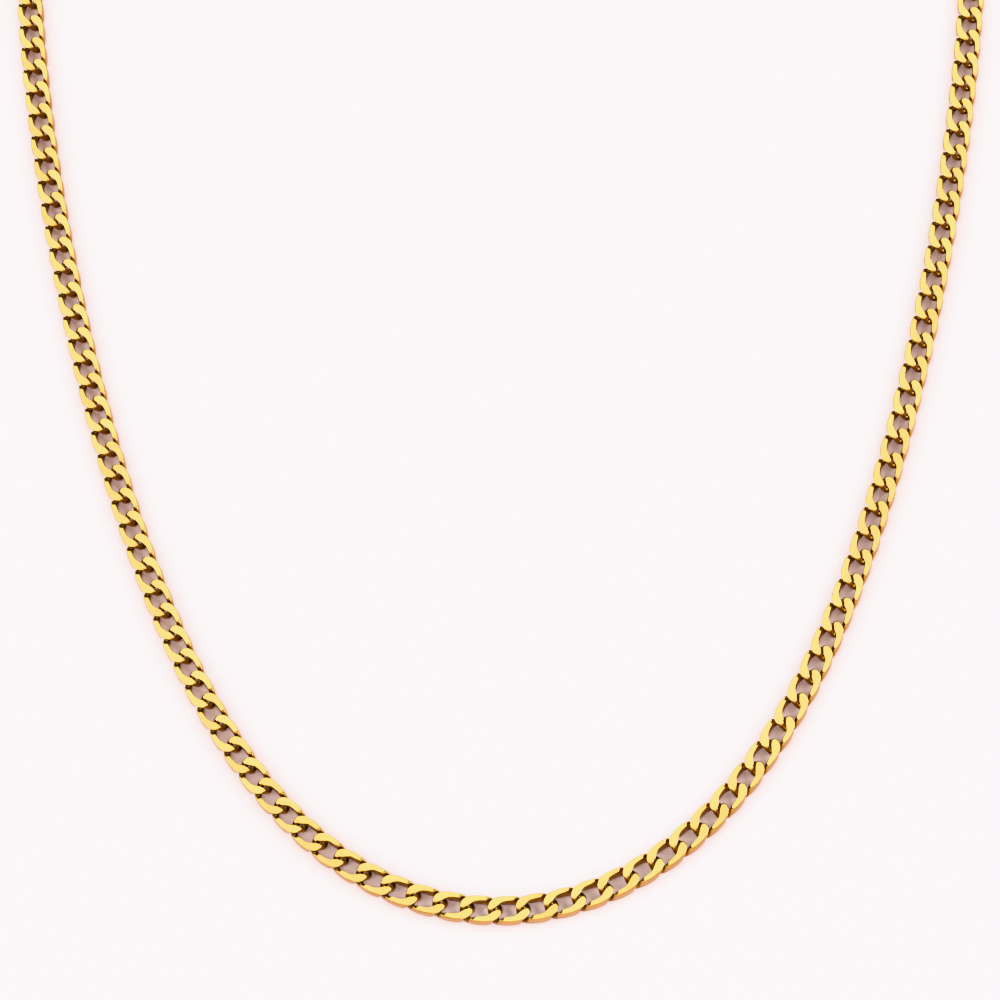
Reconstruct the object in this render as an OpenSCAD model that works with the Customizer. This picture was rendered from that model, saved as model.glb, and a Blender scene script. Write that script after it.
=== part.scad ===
// Curb chain necklace with a lobster clasp, lying flat and unfastened.
// The origin is the centre of the footprint, on the surface; Z is up and the lowest
// point of the worn U is at -Y. Link 0 carries the closed end ring, the last link the clasp.

/* [Chain] */
// Width of the chain across one link (mm); every other size follows it
chain_w = 4.0; // [3.2:0.1:6.0]
// Thickness of the pressed chain as a share of its width
thickness_share = 0.475; // [0.465:0.005:0.5]
// Width of a link's side bar as a share of the chain width
bar_share = 0.275; // [0.25:0.0025:0.29]
// Squareness of a link's outline (2 is an ellipse)
squareness = 2.4; // [2.3:0.05:2.5]

/* [Layout] */
// Turn of the chain on each side of the bottom of the U (degrees)
bottom_turn = 65; // [60:1:66]
// Links over which that turn is spread
bottom_spread = 10.9; // [10.5:0.1:13]
// Slow turn of the arms (degrees for each link)
arm_turn = 0.405; // [0.35:0.005:0.45]
// Turn of each shoulder towards the clasp (degrees)
shoulder_turn = 88; // [86:1:90]
// Links from the bottom of the U to each shoulder
shoulder_at = 59; // [58.6:0.1:60]
// Links over which a shoulder turns
shoulder_spread = 7.5; // [7.2:0.1:8]

/* [Clasp] */
// Angle through which the clasp lever is shown open (degrees)
lever_open = 0; // [0:1:36]

/* [Hidden] */
$fn = 48;
k = chain_w / 4;
links_per_group = 3;
groups = 47;
links = links_per_group * groups;
pitch = 3.95 * k;
half_t = thickness_share * chain_w / 2;

// link section and outline
bar_w = bar_share * chain_w;
end_w = 0.9 * k;
half_l = 3 * k - end_w / 2;
half_b = chain_w / 2 - bar_w / 2;
shoulder_out = 0.18 * k;
shoulder_in = 0.12 * k;
corner_a = 15;
corner_b = 45;
end_top = 0.85 * k;
pass_top = -0.16 * k;
pass_top_in = -0.35 * k;

// rings and clasp
jump_r = 1.7 * k;
jump_wire = 0.35 * k;
jump_tilt = 45;
end_r = 2.2 * k;
end_wire = 0.38 * k;
end_tilt = 33;
ring_inset = 0.575 * k;
clasp_t = 3.2 * k;
eye_r = 1.7 * k;
eye_wire = 0.4 * k;
eye_gap = 2.1 * k;
housing_u = 4.4 * k;
housing_r = 2.1 * k;
housing_round = 0.8 * k;
hook_u = 8.2 * k;
hook_r = 2.35 * k;
hook_wire = 0.95 * k;
nose_angle = -35;
hook_sweep = 200;
nose_r = 1.0 * k;
neck_r = 0.85 * k;
slot_half = 0.8 * k;
slot_top = 0.6 * k;
pivot_u = 4.7 * k;
pivot_v = -0.9 * k;
pin_r = 0.42 * k;
lever_bore = 0.5 * k;
lever_hub = 0.95 * k;
lever_web = 0.28 * k;
lever_half = 0.46 * k;
tip_r = 0.5 * k;
lever_root = 1.45 * k;
lever_tip = [8.35 * k, -2.02 * k];
knob_half = 0.5 * k;
knob_r = 0.62 * k;
knob_at = 2.5 * k;
knob_out = 0.75 * k;
spring_wire = 0.11 * k;
spring_r = 0.76 * k;
spring_z = 0.43 * k;
spring_pitch = 0.2 * k;

gold = [0.96, 0.80, 0.40];
gold_deep = [0.90, 0.72, 0.34];
steel = [0.78, 0.77, 0.74];

function tanh(u) = 1 - 2 / (exp(2 * u) + 1);
function unit(v) = v / norm(v);
function dir(a) = [cos(a), sin(a)];
function power(v, e) = sign(v) * pow(abs(v), e);

// heading of link i: a smooth turn at the bottom, a slow one in the arms, one at each shoulder
function from_bottom(i) = i - (links - 1) / 2;
function shoulder(s) = sign(s) * shoulder_turn * (1 + tanh((abs(s) - shoulder_at) / shoulder_spread)) / 2;
function heading_at(s) = bottom_turn * tanh(s / bottom_spread) + arm_turn * s + shoulder(s);
function heading(i) = heading_at(from_bottom(i));

// pivots between links, from the free end of link 0 to that of the last link
raw = [for (i = 0, q = [0, 0]; i <= links; q = q + pitch * dir(heading(i)), i = i + 1) q];
middle = (links - 1) / 2;
low_y = raw[middle].y - chain_w / 2;
high_y = raw[links].y + hook_r + hook_wire;
shift = [-(raw[0].x + raw[links].x) / 2, -(low_y + high_y) / 2];
function pivot(i) = raw[i] + shift;

// the last group at each end rises a little, to the height of the thicker clasp and rings
hardware_z = clasp_t / 2;
rise_length = links_per_group * pitch + jump_r - ring_inset;
end_lift = 0.035 * k;
rise = asin((hardware_z - half_t - end_lift) / rise_length);
last_group = groups - 1;
tail_pivot = pivot(last_group * links_per_group);
tail_heading = heading(last_group * links_per_group);
jump_flat = pivot(links) + (jump_r - ring_inset) * dir(heading(links - 1));
jump_along = (jump_flat - tail_pivot) * dir(tail_heading);
jump_centre = jump_flat - (1 - cos(rise)) * jump_along * dir(tail_heading);
clasp_at = [jump_centre.x - eye_gap, high_y + shift.y - hook_r - hook_wire];

// ---- one link: a ring of sections round its outline ----
// Each half turn has six sections. The top of the wire is at the flat face, except where it
// passes under the next link; the underside is the same shape turned over about X.
section_angle = [0, corner_a, corner_b, 90, 180 - corner_b, 180 - corner_a];
section_top = [
    [end_top, end_top], [pass_top, pass_top], [pass_top, pass_top_in],
    [half_t, half_t], [half_t, half_t], [half_t, half_t]
];
half_ring = len(section_angle);
ring = 2 * half_ring;

function outline_at(a) = [half_l * power(cos(a), 2 / squareness), half_b * power(sin(a), 2 / squareness)];
function outward_at(a) = unit([
    power(cos(a), 2 - 2 / squareness) / half_l, power(sin(a), 2 - 2 / squareness) / half_b
]);
function link_section(i) =
    let (
        a = section_angle[i % half_ring] + 180 * floor(i / half_ring),
        c = outline_at(a),
        n = outward_at(a),
        w = end_w + (bar_w - end_w) * abs(sin(a)),
        top = section_top[i % half_ring],
        low = -section_top[(ring - i) % half_ring],
        outline = [
            [w / 2, (top[0] + low[0]) / 2], [w / 2 - shoulder_out, top[0]],
            [shoulder_in - w / 2, top[1]], [-w / 2, (top[1] + low[1]) / 2],
            [shoulder_in - w / 2, low[1]], [w / 2 - shoulder_out, low[0]]
        ]
    )
    [for (q = outline) [c.x + n.x * q.x, c.y + n.y * q.x, q.y]];

link_points = [for (i = [0 : ring - 1]) each link_section(i)];
sides = 6;
function corner(i, j) = (i % ring) * sides + j % sides;
link_faces = [
    for (i = [0 : ring - 1], j = [0 : sides - 1])
        each [
            [corner(i, j), corner(i, j + 1), corner(i + 1, j + 1)],
            [corner(i, j), corner(i + 1, j + 1), corner(i + 1, j)]
        ]
];

module chain_link() {
    polyhedron(points = link_points, faces = link_faces);
}

module raised(q, turn, angle) {
    translate([q.x, q.y, half_t + end_lift]) rotate([0, 0, turn]) rotate([0, angle, 0])
        rotate([0, 0, -turn]) translate([-q.x, -q.y, -half_t]) children();
}

module placed_link(i) {
    centre = (pivot(i) + pivot(i + 1)) / 2;
    translate([centre.x, centre.y, half_t]) rotate([0, 0, heading(i)]) chain_link();
}

module link_run(g) {
    color(gold)
        for (i = [g * links_per_group : (g + 1) * links_per_group - 1]) placed_link(i);
}

module link_group(g) {
    if (g == 0) first_end() link_run(g);
    else if (g == last_group) last_end() link_run(g);
    else link_run(g);
}

module first_end() {
    raised(pivot(links_per_group), heading(links_per_group - 1), rise) children();
}

module last_end() {
    raised(tail_pivot, tail_heading, -rise) children();
}

// ---- rings ----
module tilted_ring(r, wire, tilt) {
    rotate([tilt, 0, 0]) rotate_extrude() translate([r, 0]) circle(r = wire);
}

module end_ring() {
    q = pivot(0) - (end_r - ring_inset) * dir(heading(0));
    color(gold)
        first_end() translate([q.x, q.y, half_t]) rotate([0, 0, heading(0)])
            tilted_ring(end_r, end_wire, -end_tilt);
}

module jump_ring() {
    color(gold)
        last_end() translate([jump_flat.x, jump_flat.y, half_t]) rotate([0, 0, heading(links - 1)])
            tilted_ring(jump_r, jump_wire, jump_tilt);
}

// ---- clasp: u runs from its eye to its nose, which points to the first link ----
module clasp_frame() {
    translate([clasp_at.x, clasp_at.y, hardware_z]) mirror([1, 0, 0]) children();
}

module rounded_disc(r, h, edge) {
    rotate_extrude() {
        translate([0, -h / 2]) square([r - edge, h]);
        translate([0, -h / 2 + edge]) square([r, h - 2 * edge]);
        for (s = [-1, 1]) translate([r - edge, s * (h / 2 - edge)]) circle(r = edge);
    }
}

module along(a, b, r) {
    translate([a.x, a.y, 0]) rotate([0, 0, atan2(b.y - a.y, b.x - a.x)]) rotate([0, 90, 0])
        cylinder(r = r, h = norm(b - a));
}

module clasp_body() {
    nose = [hook_u + hook_r * cos(nose_angle), hook_r * sin(nose_angle)];
    color(gold)
        clasp_frame() difference() {
            union() {
                rotate_extrude() translate([eye_r, 0]) circle(r = eye_wire);
                along([eye_r, 0], [housing_u - housing_r / 2, 0], neck_r);
                translate([housing_u, 0, 0]) rounded_disc(housing_r, clasp_t, housing_round);
                translate([hook_u, 0, 0]) rotate([0, 0, nose_angle])
                    rotate_extrude(angle = hook_sweep) translate([hook_r, 0]) circle(r = hook_wire);
                translate([nose.x, nose.y, 0]) sphere(r = nose_r);
            }
            translate([housing_u - 0.65 * housing_r, slot_top - 2 * housing_r, -slot_half])
                cube([2 * housing_r, 2 * housing_r, 2 * slot_half]);
            translate([pivot_u, pivot_v, -clasp_t]) cylinder(r = pin_r, h = 2 * clasp_t);
        }
}

// a flat bar between two points, for the lever's outline
module bar(a, b, w) {
    across = w * [a.y - b.y, b.x - a.x] / norm(b - a);
    polygon([a - across, b - across, b + across, a + across]);
}

module clasp_lever() {
    pin = [pivot_u, pivot_v];
    reach = unit(lever_tip - pin);
    root = pin + lever_root * reach;
    grip = pin + knob_at * reach;
    knob = grip + knob_out * [reach.y, -reach.x];
    color(gold_deep)
        clasp_frame() translate([pin.x, pin.y, 0]) rotate([0, 0, lever_open])
            translate([-pin.x, -pin.y, 0]) difference() {
                union() {
                    translate([0, 0, -lever_web]) linear_extrude(2 * lever_web) {
                        translate(pin) circle(r = lever_hub);
                        bar(pin, grip, lever_half);
                    }
                    translate([0, 0, -lever_half]) linear_extrude(2 * lever_half) {
                        bar(root, lever_tip, lever_half);
                        translate(lever_tip) circle(r = tip_r);
                        bar(grip, knob, knob_half);
                        translate(knob) circle(r = knob_r);
                    }
                }
                translate([pin.x, pin.y, -clasp_t]) cylinder(r = lever_bore, h = 2 * clasp_t);
            }
}

module lever_pin() {
    pin_h = clasp_t - 0.1 * k;
    color(steel)
        clasp_frame() translate([pivot_u, pivot_v, -pin_h / 2]) cylinder(r = pin_r, h = pin_h);
}

module lever_spring() {
    color(steel)
        clasp_frame() translate([pivot_u, pivot_v, spring_z])
            for (turn = [0, 1]) translate([0, 0, turn * spring_pitch])
                rotate_extrude() translate([spring_r, 0]) circle(r = spring_wire);
}

for (g = [0 : last_group]) link_group(g);
end_ring();
jump_ring();
clasp_body();
clasp_lever();
lever_pin();
lever_spring();
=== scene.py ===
"""Looks of a flat curb chain necklace that lies unfastened on a pale surface."""

import math

import bmesh
import bpy
import numpy as np
from mathutils import Matrix, Vector


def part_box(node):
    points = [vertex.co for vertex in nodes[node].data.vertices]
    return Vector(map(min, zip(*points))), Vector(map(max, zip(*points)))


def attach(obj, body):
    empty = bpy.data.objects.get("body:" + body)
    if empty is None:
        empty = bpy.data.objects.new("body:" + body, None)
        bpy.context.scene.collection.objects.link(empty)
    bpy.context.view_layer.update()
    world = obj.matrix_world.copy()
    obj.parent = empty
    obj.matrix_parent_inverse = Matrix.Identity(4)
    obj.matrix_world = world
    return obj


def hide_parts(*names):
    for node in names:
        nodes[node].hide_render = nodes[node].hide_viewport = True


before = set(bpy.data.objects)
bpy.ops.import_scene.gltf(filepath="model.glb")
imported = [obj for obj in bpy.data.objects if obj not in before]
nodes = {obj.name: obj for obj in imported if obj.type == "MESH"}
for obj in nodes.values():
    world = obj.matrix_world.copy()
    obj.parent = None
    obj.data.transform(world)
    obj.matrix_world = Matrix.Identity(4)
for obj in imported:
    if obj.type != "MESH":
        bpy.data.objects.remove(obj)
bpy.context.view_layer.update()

MM = 0.001
LINK_NODES = sorted((n for n in nodes if n.startswith("links_")), key=lambda n: int(n[6:]))

# ---- one curb link, in millimetres: the wire's path and its pressed section ----
HALF_THICK = 0.95
HALF_LENGTH = 2.99
HALF_WIDTH = 1.99
# how square the link's outline and the wire's section are: 2 is an ellipse
OUTLINE_POWER = 2.35
SECTION_POWER = 2.6
# sections round the link, and steps from each flat down to the middle of a side
RINGS = 72
QUARTER_STEPS = 4
# the flat's least share of the wire's width, and where its inner edge loop lies
THINNEST_FLAT = 0.10
FLAT_INSET = 0.82
# The link repeats after half a turn. At these angles round it: how high the raw wire stands
# before pressing, on its outer and inner side, how far each side reaches from the path, and
# where between them the ridge lies.
KEY_ANGLES = (0, 12, 32, 50, 64, 77, 104, 140, 165)
OUTER_TOP = (0.93, -0.38, -0.48, -0.46, 0.92, 1.13, 1.25, 1.20, 1.03)
INNER_TOP = (0.98, -0.36, -0.48, -0.48, -0.10, 0.99, 1.20, 1.20, 1.03)
OUTER_REACH = (0.46, 0.46, 0.46, 0.47, 0.48, 0.50, 0.52, 0.52, 0.50)
INNER_REACH = (0.48, 0.46, 0.44, 0.43, 0.42, 0.38, 0.46, 0.70, 0.70)
RIDGE = (0, 0, 0, 0.15, 0.18, 0.03, 0, 0, 0)

# ---- the rings, the pin and the spring ----
# a drawn ring's wire against the CAD ring's, so that it clears the links at every pose
WIRE_SHARE = 0.95
# the pin's outline from its axis outwards: shares of its radius and of its half length
PIN_OUTLINE = ((0.0, 1.0), (0.35, 0.995), (0.7, 0.97), (0.92, 0.92), (1.0, 0.86), (1.0, 0.8))
SPRING_WIRE = 0.09 * MM
SPRING_TURNS = 2
STEPS_PER_TURN = 48


def signed_power(value, exponent):
    return math.copysign(abs(value) ** exponent, value)


def between_keys(values, angle):
    """A smooth periodic curve through the key values that never overshoots them."""
    count = len(KEY_ANGLES)
    angle = angle % 180
    first = max(i for i in range(count) if KEY_ANGLES[i] <= angle)

    def at(i):
        return KEY_ANGLES[i % count] + 180 * (i // count)

    def slope(i):
        before = (values[i % count] - values[(i - 1) % count]) / (at(i) - at(i - 1))
        after = (values[(i + 1) % count] - values[i % count]) / (at(i + 1) - at(i))
        return 0.0 if before * after <= 0 else 2 * before * after / (before + after)

    step = at(first + 1) - at(first)
    u = (angle - at(first)) / step
    return (
        (2 * u**3 - 3 * u * u + 1) * values[first % count]
        + (u**3 - 2 * u * u + u) * step * slope(first)
        + (3 * u * u - 2 * u**3) * values[(first + 1) % count]
        + (u**3 - u * u) * step * slope(first + 1)
    )


def link_section(angle):
    """Points round the wire where it stands at this angle of the link."""
    half_x = HALF_LENGTH - between_keys(OUTER_REACH, 0)
    half_y = HALF_WIDTH - between_keys(OUTER_REACH, 90)
    c, s = math.cos(math.radians(angle)), math.sin(math.radians(angle))
    x = half_x * signed_power(c, 2 / OUTLINE_POWER)
    y = half_y * signed_power(s, 2 / OUTLINE_POWER)
    out = Vector((
        signed_power(c, 2 - 2 / OUTLINE_POWER) / half_x,
        signed_power(s, 2 - 2 / OUTLINE_POWER) / half_y,
    )).normalized()

    def quarter(side, face):
        """From inside the pressed flat, over its edge, to the middle of the side."""
        reach, heights = (OUTER_REACH, OUTER_TOP) if side > 0 else (INNER_REACH, INNER_TOP)
        edge = side * between_keys(reach, angle)
        ridge = between_keys(RIDGE, face * angle)
        high = between_keys(heights, face * angle)
        low = -between_keys(heights, -face * angle)
        middle, half_height = (high + low) / 2, (high - low) / 2
        share = THINNEST_FLAT
        if high > HALF_THICK:
            pressed = (HALF_THICK - middle) / half_height
            share = max(share, (1 - pressed**SECTION_POWER) ** (1 / SECTION_POWER))
        start = math.acos(share ** (SECTION_POWER / 2))
        points = []
        for step in range(QUARTER_STEPS + 1):
            t = start * (1 - step / QUARTER_STEPS)
            out_share = math.cos(t) ** (2 / SECTION_POWER)
            z = middle + half_height * math.sin(t) ** (2 / SECTION_POWER)
            points.append((ridge + (edge - ridge) * out_share, face * min(HALF_THICK, z)))
        inset = ridge + (points[0][0] - ridge) * FLAT_INSET
        return [(inset, points[0][1])] + points

    def side_points(side):
        """One side of the wire, from the top flat down to the bottom flat."""
        upper, lower = quarter(side, 1), quarter(side, -1)
        joint = (upper[-1][0], (upper[-1][1] + lower[-1][1]) / 2)
        return upper[:-1] + [joint] + lower[-2::-1]

    loop = side_points(1) + side_points(-1)[::-1]
    return [(x + out.x * r, y + out.y * r, z) for r, z in loop]


def link_mesh():
    mesh = bpy.data.meshes.new("curb_link")
    sections = [link_section(360 * i / RINGS) for i in range(RINGS)]
    count = len(sections[0])
    points = [tuple(MM * v for v in p) for section in sections for p in section]
    faces = []
    for i in range(RINGS):
        for j in range(count):
            n, m = (i + 1) % RINGS, (j + 1) % count
            faces.append((i * count + j, i * count + m, n * count + m, n * count + j))
    mesh.from_pydata(points, [], faces)
    finish_mesh(mesh)
    return mesh


def finish_mesh(mesh):
    """Outward faces and smooth shading; the flats have their own edge loops."""
    work = bmesh.new()
    work.from_mesh(mesh)
    bmesh.ops.recalc_face_normals(work, faces=work.faces)
    work.to_mesh(mesh)
    work.free()
    mesh.shade_smooth()


def solids_of(node):
    """The points of each separate solid in a CAD node, in the same order every time."""
    work = bmesh.new()
    work.from_mesh(nodes[node].data)
    bmesh.ops.remove_doubles(work, verts=work.verts, dist=1e-6)
    left = dict.fromkeys(work.verts)
    solids = []
    while left:
        stack, found = [left.popitem()[0]], []
        while stack:
            vert = stack.pop()
            found.append(vert.co.copy())
            for edge in vert.link_edges:
                other = edge.other_vert(vert)
                if other in left:
                    del left[other]
                    stack.append(other)
        solids.append(np.array(found, float))
    work.free()
    return solids


def frame_of(points):
    """Where a link lies: its centre, and its long, wide and thick directions."""
    centre = points.mean(0)
    _, axes = np.linalg.eigh(np.cov((points - centre).T))
    long_way, thick = Vector(axes[:, 2]), Vector(axes[:, 0])
    if thick.z < 0:
        thick = -thick
    wide = thick.cross(long_way)
    turn = Matrix((long_way, wide, thick)).transposed().to_4x4()
    return Matrix.Translation(Vector(centre)) @ turn


# ---- materials ----
# the finish: noise scales are per metre, depths and reaches in metres, the rest are shares
COLOUR_DRIFT = 260.0
PIECE_SHADE = 0.35
WEAR_GRAIN = 1500.0
POLISH_LINES = (900.0, 9000.0, 900.0)
POLISH_SHARE = 0.12
SURFACE_WAVER = 420.0
BUMP_DEPTH = 0.06 * MM
# how far the painted shade in the metal's hollows reaches
CREVICE_SHADE_REACH = 1.2 * MM
# how far the painted warm shadow on the table reaches round the pieces
PAINTED_SHADOW_REACH = 3 * MM
# a face counts as flat by how far its normal points up or down
WALL_UP_TO, FLAT_FROM = 0.78, 0.985
BLACK, WHITE = (0, 0, 0, 1), (1, 1, 1, 1)


def node_of(tree, kind, **inputs):
    made = tree.nodes.new(kind)
    for name, value in inputs.items():
        made.inputs[name.replace("_", " ")].default_value = value
    return made


def grey(value):
    return (value, value, value, 1)


def ramp(tree, source, stops):
    made = tree.nodes.new("ShaderNodeValToRGB")
    made.color_ramp.elements[0].position, made.color_ramp.elements[0].color = stops[0]
    made.color_ramp.elements[1].position, made.color_ramp.elements[1].color = stops[-1]
    for position, colour in stops[1:-1]:
        made.color_ramp.elements.new(position).color = colour
    tree.links.new(source, made.inputs["Fac"])
    return made.outputs["Color"]


def mixed(tree, share, low, high):
    """The colour low where share is 0 and high where it is 1; each a colour or a socket."""
    made = tree.nodes.new("ShaderNodeMix")
    made.data_type = "RGBA"
    tree.links.new(share, made.inputs["Factor"])
    for socket, value in ((made.inputs[6], low), (made.inputs[7], high)):
        if isinstance(value, tuple):
            socket.default_value = value
        else:
            tree.links.new(value, socket)
    return made.outputs[2]


def plated_metal(name, light, deep, wall_shade_and_tone, crevice_shade, smooth, rough, wall_rough):
    """Plated metal: polished flats, rougher walls with their own wall colour (painted shade on the
    links), painted shade in the hollows, fine polishing lines.
    """
    made = bpy.data.materials.new(name)
    made.use_nodes = True
    tree = made.node_tree
    link = tree.links.new
    shader = tree.nodes["Principled BSDF"]
    shader.inputs["Metallic"].default_value = 1.0
    places = tree.nodes.new("ShaderNodeTexCoord")
    where = places.outputs["Object"]
    which = tree.nodes.new("ShaderNodeObjectInfo").outputs["Random"]

    drift = node_of(tree, "ShaderNodeTexNoise", Scale=COLOUR_DRIFT, Detail=3.0)
    link(where, drift.inputs["Vector"])
    shade = tree.nodes.new("ShaderNodeMath")
    shade.operation = "MULTIPLY_ADD"
    shade.inputs[1].default_value = PIECE_SHADE
    link(which, shade.inputs[0])
    link(drift.outputs["Fac"], shade.inputs[2])
    colour = ramp(tree, shade.outputs[0], [(0.35, deep), (0.8, light)])

    axes = tree.nodes.new("ShaderNodeSeparateXYZ")
    link(places.outputs["Normal"], axes.inputs[0])
    upright = tree.nodes.new("ShaderNodeMath")
    upright.operation = "ABSOLUTE"
    link(axes.outputs["Z"], upright.inputs[0])
    flat = ramp(tree, upright.outputs[0], [(WALL_UP_TO, BLACK), (FLAT_FROM, WHITE)])
    # painted shade: faces that are not flat take the wall colour, which on the links is darker
    # than the flats
    faced = mixed(tree, flat, wall_shade_and_tone, colour)

    # painted shade: the colour turns to the crevice colour where ambient occlusion finds the
    # surface closed in
    hollow = node_of(tree, "ShaderNodeAmbientOcclusion", Distance=CREVICE_SHADE_REACH)
    hollow.samples = 6
    open_share = ramp(tree, hollow.outputs["AO"], [(0.2, BLACK), (0.78, WHITE)])
    link(mixed(tree, open_share, crevice_shade, faced), shader.inputs["Base Color"])

    worn = node_of(tree, "ShaderNodeTexNoise", Scale=WEAR_GRAIN, Detail=5.0)
    link(where, worn.inputs["Vector"])
    dull = ramp(tree, worn.outputs["Fac"], [(0.35, grey(smooth)), (0.7, grey(rough))])
    link(mixed(tree, flat, grey(wall_rough), dull), shader.inputs["Roughness"])

    lines = node_of(tree, "ShaderNodeMapping", Scale=POLISH_LINES)
    link(where, lines.inputs["Vector"])
    polish = node_of(tree, "ShaderNodeTexNoise", Scale=1.0, Detail=2.0)
    link(lines.outputs["Vector"], polish.inputs["Vector"])
    waver = node_of(tree, "ShaderNodeTexNoise", Scale=SURFACE_WAVER, Detail=1.0)
    link(where, waver.inputs["Vector"])
    both = tree.nodes.new("ShaderNodeMath")
    both.operation = "MULTIPLY_ADD"
    both.inputs[1].default_value = POLISH_SHARE
    link(polish.outputs["Fac"], both.inputs[0])
    link(waver.outputs["Fac"], both.inputs[2])
    bump = node_of(tree, "ShaderNodeBump", Strength=0.35, Distance=BUMP_DEPTH)
    link(both.outputs[0], bump.inputs["Height"])
    link(bump.outputs["Normal"], shader.inputs["Normal"])
    return made


def table_material():
    """A pale table, with a painted warm shadow close to the pieces, which stands for their contact
    shadow and the light the gold throws back.
    """
    made = bpy.data.materials.new("pale_table")
    made.use_nodes = True
    tree = made.node_tree
    shader = tree.nodes["Principled BSDF"]
    grain = node_of(tree, "ShaderNodeTexNoise", Scale=35.0, Detail=4.0)
    darker, paler = (0.955, 0.915, 0.935, 1), (0.965, 0.93, 0.945, 1)
    tone = ramp(tree, grain.outputs["Fac"], [(0.3, darker), (0.7, paler)])
    # painted shadow: the table's colour turns darker and warmer where ambient occlusion finds it
    # closed in by the pieces
    near = node_of(tree, "ShaderNodeAmbientOcclusion", Distance=PAINTED_SHADOW_REACH)
    near.samples = 8
    open_share = ramp(tree, near.outputs["AO"], [(0.1, BLACK), (0.75, WHITE)])
    painted_warm_shadow = mixed(tree, open_share, (0.80, 0.54, 0.46, 1), tone)
    tree.links.new(painted_warm_shadow, shader.inputs["Base Color"])
    shader.inputs["Roughness"].default_value = 0.7
    shader.inputs["Specular IOR Level"].default_value = 0.1
    return made


GOLD = plated_metal(
    "pressed_gold",
    light=(1.0, 0.83, 0.21, 1), deep=(1.0, 0.71, 0.13, 1),
    # the wall colour is painted shade on the links' side walls; the crevice colour is painted
    # shade in the hollows
    wall_shade_and_tone=(0.32, 0.15, 0.034, 1), crevice_shade=(0.16, 0.055, 0.022, 1),
    smooth=0.14, rough=0.26, wall_rough=0.36,
)
CAST_GOLD = plated_metal(
    "cast_gold",
    light=(1.0, 0.80, 0.20, 1), deep=(0.98, 0.70, 0.13, 1),
    # the crevice colour is painted shade in the hollows
    wall_shade_and_tone=(0.95, 0.66, 0.13, 1), crevice_shade=(0.30, 0.14, 0.03, 1),
    smooth=0.16, rough=0.28, wall_rough=0.24,
)
STEEL = plated_metal(
    "spring_steel",
    light=(0.80, 0.79, 0.76, 1), deep=(0.70, 0.68, 0.65, 1),
    # the crevice colour is painted shade in the hollows
    wall_shade_and_tone=(0.66, 0.64, 0.61, 1), crevice_shade=(0.22, 0.21, 0.19, 1),
    smooth=0.18, rough=0.34, wall_rough=0.3,
)


# ---- the pieces ----
def place(mesh, name, where, body, node, material):
    """A new piece that stands for a CAD node and rides on its body."""
    made = bpy.data.objects.new(name, mesh)
    bpy.context.scene.collection.objects.link(made)
    made.matrix_world = where
    if not mesh.materials:
        mesh.materials.append(material)
    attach(made, body)
    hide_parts(node)
    return made


def chain():
    """One finer link for each solid of each run, all from the same mesh."""
    mesh = link_mesh()
    for node in LINK_NODES:
        body = "run_" + node[6:]
        solids = sorted(solids_of(node), key=lambda s: tuple(s.mean(0)))
        for i, points in enumerate(solids):
            place(mesh, f"link_{node[6:]}_{i}", frame_of(points), body, node, GOLD)


def cast_piece(node, body, voxel, rounds):
    """A cast copy of a CAD solid: remade on a grid of voxel mm, its joins and edges eased."""
    work = nodes[node].data.copy()
    work.materials.clear()
    made = place(work, node + "_cast", Matrix.Identity(4), body, node, CAST_GOLD)
    grid = made.modifiers.new("grid", "REMESH")
    grid.mode = "VOXEL"
    grid.voxel_size = voxel * MM
    ease = made.modifiers.new("ease", "SMOOTH")
    ease.factor = 0.5
    ease.iterations = rounds
    bpy.context.view_layer.update()
    evaluated = made.evaluated_get(bpy.context.evaluated_depsgraph_get())
    shape = bpy.data.meshes.new_from_object(evaluated)
    made.modifiers.clear()
    made.data = shape
    shape.shade_smooth()


def tube(name, path, radius, sides=18):
    """A round wire along an open path, with closed ends."""
    work = bmesh.new()
    loops = []
    for i, point in enumerate(path):
        ahead = (path[min(i + 1, len(path) - 1)] - path[max(i - 1, 0)]).normalized()
        across = ahead.cross(Vector((0, 0, 1))).normalized()
        lift = across.cross(ahead)
        loops.append([
            work.verts.new(point + radius * (math.cos(t) * across + math.sin(t) * lift))
            for t in (2 * math.pi * j / sides for j in range(sides))
        ])
    for near, far in zip(loops, loops[1:]):
        for j in range(sides):
            work.faces.new((near[j], near[(j + 1) % sides], far[(j + 1) % sides], far[j]))
    work.faces.new(loops[0][::-1])
    work.faces.new(loops[-1])
    mesh = bpy.data.meshes.new(name)
    work.to_mesh(mesh)
    work.free()
    finish_mesh(mesh)
    return mesh


def ring_of(node):
    """Where a ring lies, and its radii: to the middle of its wire, and of the wire."""
    points = solids_of(node)[0]
    where = frame_of(points)
    flat = np.array([list(where.inverted() @ Vector(p)) for p in points])
    wire = (flat[:, 2].max() - flat[:, 2].min()) / 2
    radius = np.hypot(flat[:, 0], flat[:, 1]).max() - wire
    return where, float(radius), float(wire)


def wire_ring(node, cut_angle, gap, lean):
    """A ring of drawn wire. Its ends meet at a fine cut, a little out of line."""
    where, radius, wire = ring_of(node)
    start = cut_angle + gap / radius
    path = []
    for i in range(RINGS * 2 + 1):
        share = i / (RINGS * 2)
        t = start + share * (2 * math.pi - 2 * gap / radius)
        path.append(Vector((radius * math.cos(t), radius * math.sin(t), lean * (share - 0.5))))
    mesh = tube(node + "_wire", path, wire * WIRE_SHARE)
    mesh.transform(where)
    place(mesh, node + "_wire", Matrix.Identity(4), node, node, CAST_GOLD)


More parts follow.
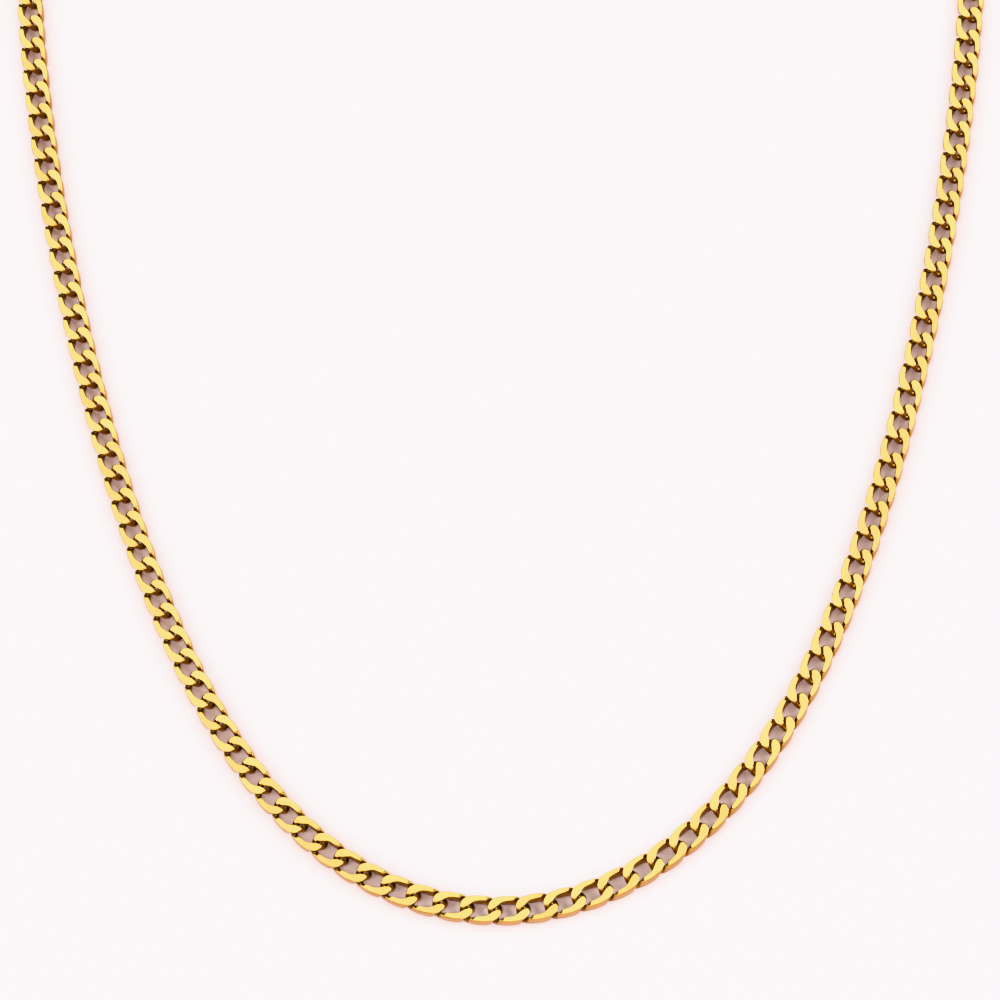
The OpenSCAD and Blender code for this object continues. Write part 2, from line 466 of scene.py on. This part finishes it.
def pin_piece():
    """A turned steel pin with a shallow domed head at each end."""
    low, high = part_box("lever_pin")
    centre, half = (low + high) / 2, (high - low) / 2
    work = bmesh.new()
    lower = [(r, -h) for r, h in reversed(PIN_OUTLINE)]
    for r, h in list(PIN_OUTLINE) + lower:
        work.verts.new((r * half.x, 0, h * half.z))
    work.verts.ensure_lookup_table()
    for first, second in zip(work.verts[:-1], work.verts[1:]):
        work.edges.new((first, second))
    bmesh.ops.spin(
        work, geom=work.verts[:] + work.edges[:], cent=(0, 0, 0), axis=(0, 0, 1),
        angle=2 * math.pi, steps=40, use_duplicate=False,
    )
    bmesh.ops.remove_doubles(work, verts=work.verts, dist=1e-7)
    mesh = bpy.data.meshes.new("turned_pin")
    work.to_mesh(mesh)
    work.free()
    finish_mesh(mesh)
    place(mesh, "turned_pin", Matrix.Translation(centre), "clasp", "lever_pin", STEEL)


def spring_piece():
    """A wound wire spring round the pin: close turns, as wide and high as the CAD solid."""
    low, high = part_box("lever_spring")
    centre, half = (low + high) / 2, (high - low) / 2
    reach_x, reach_y, reach_z = (side - SPRING_WIRE for side in half)
    count = SPRING_TURNS * STEPS_PER_TURN
    path = []
    for i in range(count + 1):
        t = 2 * math.pi * i / STEPS_PER_TURN
        rise = (2 * i / count - 1) * reach_z
        path.append(Vector((reach_x * math.cos(t), reach_y * math.sin(t), rise)))
    mesh = tube("wound_spring", path, SPRING_WIRE, sides=10)
    where = Matrix.Translation(centre)
    place(mesh, "wound_spring", where, "clasp", "lever_spring", STEEL)


def clasp():
    cast_piece("clasp_body", "clasp", voxel=0.07, rounds=9)
    cast_piece("clasp_lever", "clasp_lever", voxel=0.045, rounds=5)
    pin_piece()
    spring_piece()


# ---- surroundings ----
# the camera's elevation, azimuth and roll in degrees, and what it looks at from how far
CAMERA_ANGLES = (65.28, 10.77, -12.52)
CAMERA_TARGET = (-0.0007, -0.0458, 0.0)
CAMERA_DISTANCE = 0.6054
CAMERA_LENS = 149.9


def table_top():
    bpy.ops.mesh.primitive_plane_add(size=6.0, location=(0, 0, 0))
    top = bpy.context.object
    top.name = "table_top"
    top.data.materials.append(table_material())


def area_light(name, azimuth, elevation, distance, size, power, colour):
    data = bpy.data.lights.new(name, "AREA")
    data.shape = "RECTANGLE"
    data.size, data.size_y = size
    data.energy = power
    data.color = colour
    made = bpy.data.objects.new(name, data)
    bpy.context.scene.collection.objects.link(made)
    a, e = math.radians(azimuth), math.radians(elevation)
    back = Vector((math.sin(a) * math.cos(e), -math.cos(a) * math.cos(e), math.sin(e)))
    made.location = back * distance
    made.rotation_mode = "QUATERNION"
    made.rotation_quaternion = (-back).to_track_quat("-Z", "Y")


def lights():
    world = bpy.data.worlds.new("room")
    bpy.context.scene.world = world
    world.use_nodes = True
    back = world.node_tree.nodes["Background"]
    back.inputs["Color"].default_value = (1.0, 0.94, 0.96, 1)
    back.inputs["Strength"].default_value = 0.4
    area_light(
        "flats_softbox", azimuth=190, elevation=65, distance=1.5,
        size=(1.3, 1.1), power=6.8, colour=(1.0, 0.99, 0.96),
    )
    for name, azimuth, elevation, power in (
        ("left_softbox", 285, 33, 46.0),
        ("right_softbox", 95, 33, 46.0),
        ("front_softbox", 10, 30, 22.0),
    ):
        area_light(
            name, azimuth, elevation, distance=1.6,
            size=(1.2, 1.2), power=power, colour=(1.0, 0.99, 0.995),
        )


def camera():
    """Looks down from in front and a little to one side, rolled so that the U hangs straight."""
    elevation, azimuth, roll = (math.radians(angle) for angle in CAMERA_ANGLES)
    back = Vector((
        math.sin(azimuth) * math.cos(elevation),
        -math.cos(azimuth) * math.cos(elevation),
        math.sin(elevation),
    ))
    data = bpy.data.cameras.new("camera")
    data.sensor_width = 36.0
    data.lens = CAMERA_LENS
    data.clip_start = 0.01
    made = bpy.data.objects.new("camera", data)
    bpy.context.scene.collection.objects.link(made)
    made.location = Vector(CAMERA_TARGET) + back * CAMERA_DISTANCE
    right = (-back).cross(Vector((0, 0, 1))).normalized()
    up = right.cross(-back)
    turned_right = math.cos(roll) * right + math.sin(roll) * up
    turned_up = math.cos(roll) * up - math.sin(roll) * right
    made.rotation_mode = "QUATERNION"
    made.rotation_quaternion = Matrix((turned_right, turned_up, back)).transposed().to_quaternion()
    bpy.context.scene.camera = made


# keeps white and saturated gold bright, where the default view turns them pale
bpy.context.scene.view_settings.view_transform = "Khronos PBR Neutral"
camera()
lights()
table_top()
chain()
wire_ring("end_ring", cut_angle=2.4, gap=0.01 * MM, lean=0.0)
wire_ring("jump_ring", cut_angle=0.8, gap=0.05 * MM, lean=0.08 * MM)
clasp()
